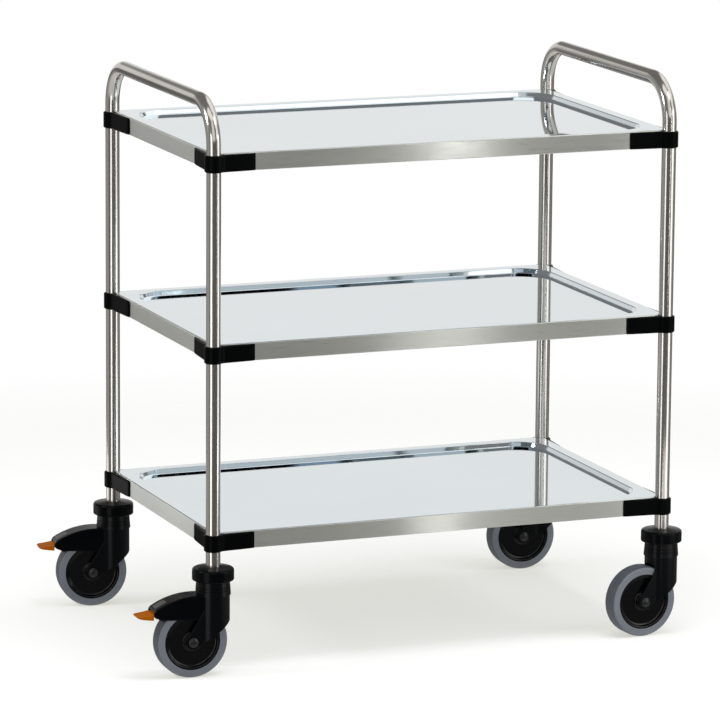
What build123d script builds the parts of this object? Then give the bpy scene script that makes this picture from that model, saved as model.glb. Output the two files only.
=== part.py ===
from build123d import *
import os
from math import acos, atan2, cos, degrees, hypot, radians, sin, sqrt, tan

# Utility trolley with three trays between two bent tube end frames, on four swivel castors.
# Millimetres. The origin is on the floor, midway between the four posts.
# X runs along the trolley, with the braked castors at -X. Y runs across it, and Z is up.

# Posts and end frames
POST_SPACING_X = 840.0
POST_SPACING_Y = 527.0
TUBE_DIAMETER = 25.0
TUBE_WALL = 1.5
HANDLE_BEND_RADIUS = 72.0
HANDLE_STRAIGHT = 11.5
POST_SHOWING = 25.5

# Trays, whose skirts stand on the lines between the post axes
TRAY_PITCH = 326.0
SHEET = 1.2
SKIRT_HEIGHT = 31.0
RIM_WIDTH = 23.0
RIM_BEND_RADIUS = 2.5
RECESS_DEPTH = 8.0
RECESS_CORNER_RADIUS = 62.0
STEP_DRAFT = 30.0
STEP_RADIUS = 6.0
HEM_WIDTH = 10.0
NOTCH_CLEARANCE = 0.8

# Corner brackets
BOSS_WALL = 3.4
BOSS_BLEND = 12.0
ARM_ALONG_X = 74.0
ARM_ALONG_Y = 90.0
ARM_PROUD = 4.0
ARM_ROOT_PROUD = 9.5
ARM_TIP_PROUD = 2.4
ARM_TIP_TAPER = 8.0
ARM_BELOW_RIM = 1.8
ARM_CHAMFER = 1.8
SHOULDER_WALL = 7.2
SHOULDER_GAP = 0.2
POST_CLEARANCE = 0.1

# Screws, all alike
SCREW_DIAMETER = 4.2
SCREW_LENGTH = 7.0
SCREW_HEAD_DIAMETER = 8.0
SCREW_HEAD_HEIGHT = 2.5
SCREW_HEAD_EDGE = 1.0
SCREW_EDGE_DISTANCE = 8.0
SCREW_TIP_PAST_TUBE = 0.5

# Wheels
WHEEL_DIAMETER = 125.0
TYRE_WIDTH = 32.0
TYRE_THICKNESS = 13.5
TYRE_SHOULDER = 4.5
TYRE_EDGE = 1.0
CORE_LIP = 3.5
CORE_DISH = 5.0
CORE_DISH_SLOPE = 3.0
CORE_SET_IN = 1.0
HUB_DIAMETER = 30.0
HUB_PROUD = 1.2
HUB_PLAY = 0.3
BUSH_DIAMETER = 22.0
BUSH_LENGTH = 12.0
AXLE_DIAMETER = 8.0
AXLE_HEAD_DIAMETER = 17.0
AXLE_HEAD_HEIGHT = 4.0
AXLE_HEAD_EDGE = 1.0
NUT_ACROSS_FLATS = 13.0
NUT_HEIGHT = 7.0
NUT_BEVEL = 30.0
RUNNING_CLEARANCE = 0.05

# Castor forks, with heights counted up from the tyre's top
TRAIL = 41.0
TYRE_CLEARANCE = 4.0
FORK_ARM = 3.2
FORK_EDGE = 1.2
EYE_RADIUS = 12.5
ARM_TOP = -5.0
HOOD_BACK = -27.0
HOOD_FRONT = 2.0
NECK_FOOT = 16.0
NECK_HEIGHT = 27.5
NECK_DIAMETER = 57.0
NECK_FLARE = 2.1
NECK_GROOVES = (9.0, 14.0)
GROOVE_WIDTH = 1.6
GROOVE_DEPTH = 1.0
HOOD_PROUD = 0.3

# Swivels
SWIVEL_PIN_DIAMETER = 12.0
SWIVEL_HEAD_DIAMETER = 22.0
SWIVEL_HEAD_HEIGHT = 5.0
SWIVEL_PLAY = 0.2
RING_DIAMETER = 34.0
RING_HEIGHT = 9.0
RING_PROUD = 0.5
RING_ABOVE_TYRE = 3.0
STEM_FLANGE_DIAMETER = 44.0
STEM_FLANGE_HEIGHT = 4.0
STEM_SHOULDER_DIAMETER = 20.0
STEM_SHOULDER_HEIGHT = 2.8
STEM_PLUG_LENGTH = 44.0
CAP_OVERLAP = 2.5
CAP_GAP = 3.5
CAP_WALL = 4.0
CAP_SIDE = 20.5
CAP_DOME = 3.0
CAP_EDGE = 4.0
CAP_FOOT_EDGE = 2.0

# Brakes, with places counted forward from the tyre's front and up from its top
BRAKE_WALL = 2.5
BRAKE_EDGE = 2.0
BRAKE_SIDE_CLEARANCE = 1.5
BRAKE_TOP_RADIUS = 135.0
BRAKE_NOSE_SLOPE = 31.0
BRAKE_NOSE_TURN = 103.0
BRAKE_NOSE_RADIUS = 9.6
BRAKE_NOSE = (-2.9, -8.9)
BRAKE_JAW = (-6.8, -20.2)
BRAKE_CHEEK = -25.0
INSET_BEHIND_NOSE = 11.0
INSET_LENGTH = 22.0
INSET_WIDTH = 20.0
INSET_THICKNESS = 1.5
INSET_PROUD = 0.3
INSET_CORNER = 2.0
PIVOT_BOSS_RADIUS = 5.5
TRUNNION_RADIUS = 3.0
TRUNNION_DEPTH = 1.8
LEVER_SET_IN = 3.0
LEVER_RISE = 3.0
LEVER_GAP = 0.5
PEDAL_SET_IN = 1.0
PEDAL_GAP = 0.6
PEDAL_LENGTH = 27.0
PEDAL_ROOT_DROP = 9.9
PEDAL_HOLLOW = 3.2
PEDAL_TIP_DROP = 3.8
PEDAL_TIP_HEIGHT = 1.7
PEDAL_BELLY_DROP = 8.7
PEDAL_CORNER = 7.0
SHOE_WIDTH = 24.0
SHOE_GAP = 1.2
SHOE_FRONT = 1.5
SHOE_BACK = 12.0
SHOE_LOW_ANGLE = 37.0
SHOE_FOOT = 5.5

# Where things stand
TRAY_NAMES = ("bottom", "middle", "top")
CORNERS = {
    "front_left": (-1, -1),
    "rear_left": (-1, 1),
    "front_right": (1, -1),
    "rear_right": (1, 1),
}
CASTOR_ANGLES = {"front_left": -2.0, "rear_left": -8.0, "front_right": 5.0, "rear_right": -2.0}
BRAKED = ("front_left", "rear_left")

# Sizes that follow from the ones above
TUBE_RADIUS = TUBE_DIAMETER / 2
TUBE_BORE_RADIUS = TUBE_RADIUS - TUBE_WALL
SLEEVE_RADIUS = TUBE_RADIUS + POST_CLEARANCE
BOSS_RADIUS = SLEEVE_RADIUS + BOSS_WALL
SHOULDER_SIZE = SLEEVE_RADIUS + SHOULDER_WALL
SKIRT_END = SHOULDER_SIZE + SHOULDER_GAP
ARM_SCREW_REACH = SKIRT_END + SCREW_EDGE_DISTANCE
POST_SCREW_SEAT = TUBE_BORE_RADIUS - SCREW_TIP_PAST_TUBE + SCREW_LENGTH
WHEEL_RADIUS = WHEEL_DIAMETER / 2
AXLE = (-TRAIL, WHEEL_RADIUS)
TYRE_SEAT_RADIUS = WHEEL_RADIUS - TYRE_THICKNESS
HUB_WIDTH = TYRE_WIDTH + 2 * HUB_PROUD
FORK_GAP = HUB_WIDTH + 2 * HUB_PLAY
FORK_WIDTH = FORK_GAP + 2 * FORK_ARM
HOOD_RADIUS = NECK_DIAMETER / 2 + HOOD_PROUD
HOOD_CREASE = -sqrt(HOOD_RADIUS**2 - FORK_WIDTH**2 / 4)
HOOD_BACK_CORNER = (HOOD_RADIUS, WHEEL_DIAMETER + HOOD_BACK)
NECK_BOTTOM = WHEEL_DIAMETER + NECK_FOOT
NECK_TOP = NECK_BOTTOM + NECK_HEIGHT
LOWER_RING = WHEEL_DIAMETER + RING_ABOVE_TYRE
UPPER_RING = NECK_TOP + RING_PROUD - RING_HEIGHT
STEM_SHOULDER = UPPER_RING + RING_HEIGHT + SWIVEL_PLAY
STEM_FLANGE = STEM_SHOULDER + STEM_SHOULDER_HEIGHT
TUBE_END = STEM_FLANGE + STEM_FLANGE_HEIGHT
CAP_BOTTOM = NECK_TOP - CAP_OVERLAP
CAP_TOP = CAP_BOTTOM + CAP_SIDE + CAP_DOME
BOTTOM_RIM = CAP_TOP + POST_SHOWING + SKIRT_HEIGHT
HANDLE_HEIGHT = BOTTOM_RIM + 2 * TRAY_PITCH + HANDLE_STRAIGHT + HANDLE_BEND_RADIUS
BRAKE_INNER_WIDTH = TYRE_WIDTH + 2 * BRAKE_SIDE_CLEARANCE
BRAKE_WIDTH = BRAKE_INNER_WIDTH + 2 * BRAKE_WALL
LEVER_WIDTH = BRAKE_INNER_WIDTH - 2 * LEVER_SET_IN
PEDAL_WIDTH = BRAKE_WIDTH - 2 * PEDAL_SET_IN
STANDING = (Align.CENTER, Align.CENTER, Align.MIN)


# Helpers


def rim_height(tray_name):
    """Height of the rim of the bottom, middle or top tray."""
    return BOTTOM_RIM + TRAY_PITCH * TRAY_NAMES.index(tray_name)


def post_place(corner):
    """Where the axis of a corner's post crosses the floor."""
    sign_x, sign_y = CORNERS[corner]
    return sign_x * POST_SPACING_X / 2, sign_y * POST_SPACING_Y / 2


def castor_place(corner):
    """Location that takes a castor from its own axes to its post."""
    return Pos(*post_place(corner), 0) * Rot(0, 0, CASTOR_ANGLES[corner])


def by_tyre(place):
    """Castor point given forward of the tyre's front and above its top."""
    return -TRAIL - WHEEL_RADIUS - place[0], WHEEL_DIAMETER + place[1]


def rod(start, direction, radius, length):
    """Round bar from a point along a direction."""
    return extrude(Plane(origin=start, z_dir=direction) * Circle(radius), amount=length)


def cross_rod(place, radius, width):
    """Round bar across a castor, through a point of its side view."""
    return rod((place[0], -width / 2, place[1]), (0, 1, 0), radius, width)


def polygon(points):
    """Face bounded by straight lines through a list of points."""
    return make_face(Polyline(*points, close=True))


def side_plate(face, width):
    """Plate of a given width across a castor, from a face drawn in its side view."""
    return extrude(Plane.XZ.offset(-width / 2) * face, amount=width)


def turned_upright(face):
    """Solid turned about Z from a face drawn as radius and height."""
    return revolve(Plane.XZ * face, axis=Axis.Z)


def turned_on_axle(face):
    """Solid turned about the axle from a face drawn as radius and distance across the wheel."""
    return Pos(AXLE[0], 0, AXLE[1]) * revolve(face, axis=Axis.Y)


def rounded(face, corner, radius):
    """Face with the corner nearest to a point rounded."""
    return fillet(face.vertices().sort_by_distance((corner[0], corner[1], 0))[0], radius)


def tangent_point(point, centre, radius, side):
    """Where a line from a point touches a circle, on the side given by 1 or -1."""
    across, up = point[0] - centre[0], point[1] - centre[1]
    angle = atan2(up, across) + side * acos(radius / hypot(across, up))
    return centre[0] + radius * cos(angle), centre[1] + radius * sin(angle)


# Screws


def screw_places(corner, tray_name):
    """Seat and driving direction of a bracket's three screws: two through the skirts, one into the post."""
    sign_x, sign_y = CORNERS[corner]
    post_x, post_y = post_place(corner)
    height = rim_height(tray_name) - SKIRT_HEIGHT / 2
    diagonal = POST_SCREW_SEAT / sqrt(2)
    return [
        ((post_x - sign_x * ARM_SCREW_REACH, post_y - sign_y * SHEET, height), (0, sign_y, 0)),
        ((post_x - sign_x * SHEET, post_y - sign_y * ARM_SCREW_REACH, height), (sign_x, 0, 0)),
        ((post_x - sign_x * diagonal, post_y - sign_y * diagonal, height), (sign_x, sign_y, 0)),
    ]


def screw_shank(seat, direction):
    """Shank of a screw, and the hole that it takes in the pieces it holds."""
    return rod(seat, direction, SCREW_DIAMETER / 2, SCREW_LENGTH)


def screw(seat, direction):
    """One pan head screw, with the underside of its head on the seat."""
    outward = Vector(*direction) * -1
    head = rod(seat, outward, SCREW_HEAD_DIAMETER / 2, SCREW_HEAD_HEIGHT)
    crown = head.faces().sort_by(Axis(seat, outward))[-1].edges()
    return fillet(crown, SCREW_HEAD_EDGE) + screw_shank(seat, direction)


# End frames


def end_frame(side):
    """Bent tube that makes the two posts and the handle bar of one end."""
    x = side * POST_SPACING_X / 2
    half = POST_SPACING_Y / 2
    corners = ((x, -half, TUBE_END), (x, -half, HANDLE_HEIGHT), (x, half, HANDLE_HEIGHT), (x, half, TUBE_END))
    path = FilletPolyline(*corners, radius=HANDLE_BEND_RADIUS)
    section = Circle(TUBE_RADIUS) - Circle(TUBE_BORE_RADIUS)
    tube = sweep(Plane(corners[0]) * section, path=path)
    for corner, signs in CORNERS.items():
        for tray_name in TRAY_NAMES if signs[0] == side else ():
            tube -= screw_shank(*screw_places(corner, tray_name)[2])
    return tube


# Trays


def tray_sheet(rim):
    """Pressed sheet with a flat rim, a sloping step, a sunken deck and a skirt."""
    deck_height = rim - RECESS_DEPTH
    run = RECESS_DEPTH * tan(radians(STEP_DRAFT))
    length, width = POST_SPACING_X - 2 * RIM_WIDTH, POST_SPACING_Y - 2 * RIM_WIDTH
    mouth = RectangleRounded(length, width, RECESS_CORNER_RADIUS)
    deck = RectangleRounded(length - 2 * run, width - 2 * run, RECESS_CORNER_RADIUS - run)
    block = Pos(0, 0, rim - SKIRT_HEIGHT / 2) * Box(POST_SPACING_X, POST_SPACING_Y, SKIRT_HEIGHT)
    block -= loft([Plane.XY.offset(rim) * mouth, Plane.XY.offset(deck_height) * deck], ruled=True)
    block = fillet(block.faces().sort_by(Axis.Z)[-1].inner_wires()[0].edges(), STEP_RADIUS)
    block = fillet(block.edges().filter_by_position(Axis.Z, deck_height, deck_height), STEP_RADIUS)
    block = fillet(block.faces().sort_by(Axis.Z)[-1].outer_wire().edges(), RIM_BEND_RADIUS)
    return offset(block, amount=-SHEET, openings=block.faces().sort_by(Axis.Z)[0])


def tray(tray_name):
    """One tray, with a hem inside its skirt, cut back at its corners for the posts and brackets."""
    rim = rim_height(tray_name)
    bottom = rim - SKIRT_HEIGHT
    hem = Rectangle(POST_SPACING_X, POST_SPACING_Y)
    hem -= Rectangle(POST_SPACING_X - 2 * HEM_WIDTH, POST_SPACING_Y - 2 * HEM_WIDTH)
    sheet = tray_sheet(rim) + extrude(Plane.XY.offset(bottom) * hem, amount=SHEET)
    for corner in CORNERS:
        place = Pos(*post_place(corner), bottom)
        sheet -= place * Box(2 * SKIRT_END, 2 * SKIRT_END, SKIRT_HEIGHT - SHEET, align=STANDING)
        sheet -= place * Cylinder(TUBE_RADIUS + NOTCH_CLEARANCE, 2 * SKIRT_HEIGHT, align=STANDING)
        for seat, direction in screw_places(corner, tray_name)[:2]:
            sheet -= screw_shank(seat, direction)
    return sheet


# Corner brackets, made for a tray towards +X and +Y of the post, with its rim at zero


def bracket_outline():
    """Plan of the ring round the post and of the two arms outside the skirts, blended into it."""
    profile = [(ARM_TIP_PROUD, 0.0), (ARM_PROUD, ARM_TIP_TAPER)]
    along_x = [(ARM_ALONG_X - back, -proud) for proud, back in profile]
    along_y = [(-proud, ARM_ALONG_Y - back) for proud, back in profile]
    arm_x = polygon([(0, 0), (ARM_ALONG_X, 0), *along_x, (0, -ARM_ROOT_PROUD)])
    arm_y = polygon([(0, 0), (0, ARM_ALONG_Y), *along_y, (-ARM_ROOT_PROUD, 0)])
    outline = Circle(BOSS_RADIUS) + arm_x + arm_y
    waists = outline.vertices().sort_by(Axis((0, 0, 0), (1, 1, 0)))[:2]
    return fillet(waists, BOSS_BLEND)


def bracket_arms():
    """The ring and the arms, a little lower than the rim, with bevelled outer edges."""
    arms = extrude(Plane.XY.offset(-SKIRT_HEIGHT) * bracket_outline(), amount=SKIRT_HEIGHT - ARM_BELOW_RIM)
    flat_faces = arms.faces().filter_by(Axis.Z)
    edges = [edge for face in flat_faces for edge in face.edges()]
    outer = [edge for edge in edges if min(edge.center().X, edge.center().Y) < -ARM_TIP_PROUD]
    return chamfer(outer, ARM_CHAMFER)


def bracket_shoulder():
    """Block under the tray's corner that the rim rests on, with a flat for the post's screw."""
    flat = POST_SCREW_SEAT * sqrt(2) - SHOULDER_SIZE
    corner = [(SHOULDER_SIZE, 0), (SHOULDER_SIZE, flat), (flat, SHOULDER_SIZE), (0, SHOULDER_SIZE)]
    return extrude(Plane.XY.offset(-SHEET) * polygon([(0, 0), *corner]), amount=SHEET - SKIRT_HEIGHT)


def bracket_blank():
    """Corner bracket before its screw holes."""
    blank = bracket_arms() + bracket_shoulder()
    return blank - Cylinder(SLEEVE_RADIUS, 4 * SKIRT_HEIGHT)


def bracket(blank, corner, tray_name):
    """Bracket of one corner of one tray."""
    sign_x, sign_y = CORNERS[corner]
    piece = mirror(blank, about=Plane.YZ) if sign_x > 0 else blank
    piece = mirror(piece, about=Plane.XZ) if sign_y > 0 else piece
    piece = Pos(*post_place(corner), rim_height(tray_name)) * piece
    for seat, direction in screw_places(corner, tray_name):
        piece -= screw_shank(seat, direction)
    return piece


# Wheels, made with the castor's swivel axis on Z, the floor at zero and the wheel trailing towards -X


def wheel_tyre():
    """Tyre with flat sides and rounded shoulders."""
    half = TYRE_WIDTH / 2
    near_side = [(TYRE_SEAT_RADIUS, -half), (WHEEL_RADIUS, -half)]
    section = polygon([*near_side, (WHEEL_RADIUS, half), (TYRE_SEAT_RADIUS, half)])
    for side in (-half, half):
        section = rounded(section, (WHEEL_RADIUS, side), TYRE_SHOULDER)
        section = rounded(section, (TYRE_SEAT_RADIUS, side), TYRE_EDGE)
    return turned_on_axle(section)


def wheel_core():
    """Dished disc with a raised lip and a hub."""
    face = TYRE_WIDTH / 2 - CORE_SET_IN
    dish = face - CORE_DISH
    lip = TYRE_SEAT_RADIUS - CORE_LIP
    hub = HUB_DIAMETER / 2
    near_side = [
        (BUSH_DIAMETER / 2, HUB_WIDTH / 2),
        (hub, HUB_WIDTH / 2),
        (hub, dish),
        (lip - CORE_DISH_SLOPE, dish),
        (lip, face),
        (TYRE_SEAT_RADIUS, face),
    ]
    far_side = [(radius, -across) for radius, across in reversed(near_side)]
    return turned_on_axle(polygon(near_side + far_side))


def wheel_bushes():
    """The two plain bushes that the wheel turns on."""
    bore, outside = AXLE_DIAMETER / 2 + RUNNING_CLEARANCE, BUSH_DIAMETER / 2
    bushes = []
    for side in (-1, 1):
        outer_end, inner_end = side * HUB_WIDTH / 2, side * (HUB_WIDTH / 2 - BUSH_LENGTH)
        section = polygon([(bore, outer_end), (outside, outer_end), (outside, inner_end), (bore, inner_end)])
        bushes.append(turned_on_axle(section))
    return bushes


def axle_bolt():
    """Bolt through both fork arms, with a domed head on the front side."""
    shank, head = AXLE_DIAMETER / 2, AXLE_HEAD_DIAMETER / 2
    seat, end = -FORK_WIDTH / 2, FORK_WIDTH / 2 + NUT_HEIGHT
    brim = seat - AXLE_HEAD_EDGE
    crown = seat - AXLE_HEAD_HEIGHT
    dome = AXLE_HEAD_HEIGHT - AXLE_HEAD_EDGE
    dome_radius = (head**2 + dome**2) / (2 * dome)
    outline = [
        Polyline((0, crown), (0, end), (shank, end), (shank, seat), (head, seat), (head, brim)),
        RadiusArc((head, brim), (0, crown), dome_radius),
    ]
    return turned_on_axle(make_face(outline))


def axle_nut():
    """Hexagon nut with bevelled corners on the far end of the axle bolt."""
    seat = FORK_WIDTH / 2
    flats = RegularPolygon(NUT_ACROSS_FLATS / 2, 6, major_radius=False) - Circle(AXLE_DIAMETER / 2)
    nut = extrude(Plane((AXLE[0], seat, AXLE[1]), z_dir=(0, 1, 0)) * flats, amount=NUT_HEIGHT)
    wide = NUT_ACROSS_FLATS / 2 + NUT_HEIGHT / tan(radians(NUT_BEVEL))
    cone = [(0, seat), (wide, seat), (NUT_ACROSS_FLATS / 2, seat + NUT_HEIGHT), (0, seat + NUT_HEIGHT)]
    return nut & turned_on_axle(polygon(cone))


# Castor forks and swivels


def underside(x):
    """Height of the fork's sloping underside, from the hood's back corner to the round of the eye."""
    touch = tangent_point(HOOD_BACK_CORNER, AXLE, EYE_RADIUS, -1)
    slope = (HOOD_BACK_CORNER[1] - touch[1]) / (HOOD_BACK_CORNER[0] - touch[0])
    return touch[1] + slope * (x - touch[0])


def fork_hood():
    """Round body of the fork behind the wheel, cut off along a sloping underside."""
    outline = [
        (HOOD_RADIUS, NECK_BOTTOM),
        HOOD_BACK_CORNER,
        (HOOD_CREASE, underside(HOOD_CREASE)),
        (HOOD_CREASE, WHEEL_DIAMETER + ARM_TOP),
        (-HOOD_RADIUS, WHEEL_DIAMETER + HOOD_FRONT),
        (-HOOD_RADIUS, NECK_BOTTOM),
    ]
    return side_plate(polygon(outline), 2 * HOOD_RADIUS) & Cylinder(HOOD_RADIUS, NECK_TOP, align=STANDING)


def fork_arms():
    """Flat arms from the hood down to the axle, joined as one plate before the wheel's slot is cut."""
    top = (HOOD_CREASE, WHEEL_DIAMETER + ARM_TOP)
    eye_front = tangent_point(top, AXLE, EYE_RADIUS, 1)
    eye_back = tangent_point(HOOD_BACK_CORNER, AXLE, EYE_RADIUS, -1)
    away = Vector(*AXLE) * 2 - Vector(*top) - Vector(*HOOD_BACK_CORNER)
    tip = Vector(*AXLE) + away.normalized() * EYE_RADIUS
    outline = [
        Polyline(eye_front, top, (0, top[1]), (0, underside(0)), eye_back),
        ThreePointArc(eye_back, tip, eye_front),
    ]
    plate = side_plate(make_face(outline), FORK_WIDTH)
    side_edges = plate.faces().filter_by(Axis.Y).edges()
    return fillet([edge for edge in side_edges if edge.center().X < HOOD_CREASE / 2], FORK_EDGE)


def fork_neck():
    """Flared neck with ring grooves, turned about the swivel axis."""
    top_radius = NECK_DIAMETER / 2
    foot_radius = top_radius + NECK_FLARE
    foot = [(0, NECK_BOTTOM), (foot_radius, NECK_BOTTOM)]
    neck = turned_upright(polygon([*foot, (top_radius, NECK_TOP), (0, NECK_TOP)]))
    for height in NECK_GROOVES:
        radius = top_radius + NECK_FLARE * (1 - height / NECK_HEIGHT) - GROOVE_DEPTH
        ring = Cylinder(NECK_DIAMETER, GROOVE_WIDTH) - Cylinder(radius, GROOVE_WIDTH)
        neck -= Pos(0, 0, NECK_BOTTOM + height) * ring
    return neck


def castor_fork():
    """One-piece fork with its bearing seats, pin hole, wheel slot and axle hole."""
    slot = cross_rod(AXLE, WHEEL_RADIUS + TYRE_CLEARANCE, FORK_GAP)
    up = (0, 0, 1)
    seats = rod((0, 0, 0), up, RING_DIAMETER / 2, LOWER_RING + RING_HEIGHT)
    seats += rod((0, 0, UPPER_RING), up, RING_DIAMETER / 2, RING_HEIGHT)
    pin_hole = rod((0, 0, 0), up, SWIVEL_HEAD_DIAMETER / 2, NECK_TOP)
    axle_hole = cross_rod(AXLE, AXLE_DIAMETER / 2, FORK_WIDTH)
    return fork_hood() + fork_arms() + fork_neck() - slot - seats - pin_hole - axle_hole


def swivel_bearings():
    """The lower and upper bearing rings in the fork's neck."""
    section = Circle(RING_DIAMETER / 2) - Circle(SWIVEL_PIN_DIAMETER / 2 + RUNNING_CLEARANCE)
    ring = extrude(section, amount=RING_HEIGHT)
    return [Pos(0, 0, height) * ring for height in (LOWER_RING, UPPER_RING)]


def castor_stem():
    """Turned stem: plug in the post, flange under the tube's end, swivel pin and closed-over head."""
    pin, head = SWIVEL_PIN_DIAMETER / 2, SWIVEL_HEAD_DIAMETER / 2
    shoulder, flange = STEM_SHOULDER_DIAMETER / 2, STEM_FLANGE_DIAMETER / 2
    plug = TUBE_BORE_RADIUS - RUNNING_CLEARANCE
    head_top = LOWER_RING - SWIVEL_PLAY
    outline = [
        (0, head_top - SWIVEL_HEAD_HEIGHT),
        (head, head_top - SWIVEL_HEAD_HEIGHT),
        (head, head_top),
        (pin, head_top),
        (pin, STEM_SHOULDER),
        (shoulder, STEM_SHOULDER),
        (shoulder, STEM_FLANGE),
        (flange, STEM_FLANGE),
        (flange, TUBE_END),
        (plug, TUBE_END),
        (plug, TUBE_END + STEM_PLUG_LENGTH),
        (0, TUBE_END + STEM_PLUG_LENGTH),
    ]
    return turned_upright(polygon(outline))


def castor_cap():
    """Domed cap over the swivel, with a sleeve round the post that stands on the stem's flange."""
    inside = NECK_DIAMETER / 2 + CAP_GAP
    outside = inside + CAP_WALL
    brim = CAP_BOTTOM + CAP_SIDE
    sleeve = SLEEVE_RADIUS + CAP_WALL
    outline = [
        (inside, CAP_BOTTOM),
        (outside, CAP_BOTTOM),
        (outside, brim),
        (SLEEVE_RADIUS, CAP_TOP),
        (SLEEVE_RADIUS, TUBE_END),
        (sleeve, TUBE_END),
        (sleeve, brim - CAP_WALL),
        (inside, brim - CAP_WALL),
    ]
    section = rounded(polygon(outline), (outside, brim), CAP_EDGE)
    return turned_upright(rounded(section, (outside, CAP_BOTTOM), CAP_FOOT_EDGE))


# Brakes


def brake_top_centre():
    """Centre of the arc along the housing's top, which runs into the round of the nose."""
    slope = radians(BRAKE_NOSE_SLOPE)
    nose = by_tyre(BRAKE_NOSE)
    apart = BRAKE_TOP_RADIUS - BRAKE_NOSE_RADIUS
    return nose[0] + apart * sin(slope), nose[1] - apart * cos(slope)


def on_circle(centre, radius, angle):
    """Point of a circle at an angle in degrees, measured from straight up towards the nose."""
    return centre[0] - radius * sin(radians(angle)), centre[1] + radius * cos(radians(angle))


def brake_side():
    """Side view of the brake housing, from its heel in the hood to its nose past the tyre."""
    top, nose = brake_top_centre(), by_tyre(BRAKE_NOSE)
    heel_x = HOOD_CREASE + BRAKE_EDGE
    heel = (heel_x, top[1] + sqrt(BRAKE_TOP_RADIUS**2 - (heel_x - top[0]) ** 2))
    crest = on_circle(top, BRAKE_TOP_RADIUS, BRAKE_NOSE_SLOPE / 2)
    brow = on_circle(nose, BRAKE_NOSE_RADIUS, BRAKE_NOSE_SLOPE)
    tip = on_circle(nose, BRAKE_NOSE_RADIUS, BRAKE_NOSE_SLOPE + BRAKE_NOSE_TURN / 2)
    chin = on_circle(nose, BRAKE_NOSE_RADIUS, BRAKE_NOSE_SLOPE + BRAKE_NOSE_TURN)
    outline = [
        ThreePointArc(heel, crest, brow),
        ThreePointArc(brow, tip, chin),
        Polyline(chin, by_tyre(BRAKE_JAW), (heel_x, WHEEL_DIAMETER + BRAKE_CHEEK), heel),
    ]
    return make_face(outline)


def brake_inset():
    """Curved plate let into the housing's top behind its nose, a little proud of it."""
    top = brake_top_centre()
    middle = BRAKE_NOSE_SLOPE - degrees(INSET_BEHIND_NOSE / BRAKE_TOP_RADIUS)
    place = on_circle(top, BRAKE_TOP_RADIUS, middle)
    outward = Vector(place[0] - top[0], 0, place[1] - top[1])
    face = RectangleRounded(INSET_LENGTH, INSET_WIDTH, INSET_CORNER)
    across = Plane((place[0], 0, place[1]), x_dir=outward.cross(Vector(0, 1, 0)), z_dir=outward)
    block = extrude(across * face, amount=2 * INSET_THICKNESS, both=True)
    outside = BRAKE_TOP_RADIUS + INSET_PROUD
    shell = cross_rod(top, outside, INSET_WIDTH) - cross_rod(top, outside - INSET_THICKNESS, INSET_WIDTH)
    return block & shell


def brake_housing(fork):
    """Hollow hood in front of the fork, open below and at its nose for the wheel and the pedal."""
    side = brake_side()
    pivot, jaw = by_tyre(BRAKE_NOSE), by_tyre(BRAKE_JAW)
    hood = side_plate(side, BRAKE_WIDTH)
    hood = fillet(hood.faces().filter_by(Axis.Y).edges(), BRAKE_EDGE)
    hollow = side_plate(offset(side, amount=-BRAKE_WALL), BRAKE_INNER_WIDTH)
    wheel_room = cross_rod(AXLE, WHEEL_RADIUS + TYRE_CLEARANCE, BRAKE_INNER_WIDTH)
    under_height = jaw[1] + BRAKE_WALL
    under = Box(WHEEL_DIAMETER, BRAKE_INNER_WIDTH, under_height, align=(Align.MIN, Align.CENTER, Align.MIN))
    under = Pos(pivot[0] - PIVOT_BOSS_RADIUS, 0, 0) * under
    mouth_back = pivot[0] + SHOE_BACK + LEVER_GAP
    mouth_width, mouth_top = LEVER_WIDTH + 2 * LEVER_GAP, pivot[1] + LEVER_RISE + 2 * LEVER_GAP
    mouth = Box(PEDAL_LENGTH + SHOE_BACK, mouth_width, mouth_top, align=(Align.MAX, Align.CENTER, Align.MIN))
    mouth = Pos(mouth_back, 0, 0) * mouth
    bearing_width = BRAKE_INNER_WIDTH + 2 * TRUNNION_DEPTH + LEVER_GAP
    bearings = cross_rod(pivot, TRUNNION_RADIUS + RUNNING_CLEARANCE, bearing_width)
    swivel_room = rod((0, 0, 0), (0, 0, 1), RING_DIAMETER / 2, NECK_TOP)
    return hood - hollow - wheel_room - under - mouth - bearings - brake_inset() - fork - swivel_room


def brake_pedal():
    """Toe pedal with its lever and the two trunnions that it turns on."""
    pivot = by_tyre(BRAKE_NOSE)
    root = pivot[0] - BRAKE_NOSE_RADIUS - PEDAL_GAP
    tip = root - PEDAL_LENGTH
    middle = (root + tip) / 2
    root_low = pivot[1] - PEDAL_ROOT_DROP
    tip_top = pivot[1] - PEDAL_TIP_DROP
    tip_low = tip_top - PEDAL_TIP_HEIGHT
    outline = [
        ThreePointArc((root, pivot[1]), (middle, pivot[1] - PEDAL_HOLLOW), (tip, tip_top)),
        Line((tip, tip_top), (tip, tip_low)),
        ThreePointArc((tip, tip_low), (middle, pivot[1] - PEDAL_BELLY_DROP), (root, root_low)),
        Line((root, root_low), (root, pivot[1])),
    ]
    toe = side_plate(make_face(outline), PEDAL_WIDTH)
    toe = fillet(toe.edges().filter_by(Axis.Z).sort_by(Axis.X)[:2], PEDAL_CORNER)
    low = pivot[1] - PIVOT_BOSS_RADIUS
    lever_side = [(pivot[0], low), (root, low), (root, pivot[1]), (pivot[0], pivot[1] + LEVER_RISE)]
    lever = side_plate(polygon(lever_side), LEVER_WIDTH)
    boss = cross_rod(pivot, PIVOT_BOSS_RADIUS, BRAKE_INNER_WIDTH - LEVER_GAP)
    trunnions = cross_rod(pivot, TRUNNION_RADIUS, BRAKE_INNER_WIDTH + 2 * TRUNNION_DEPTH)
    return toe + lever + boss + trunnions


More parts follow.
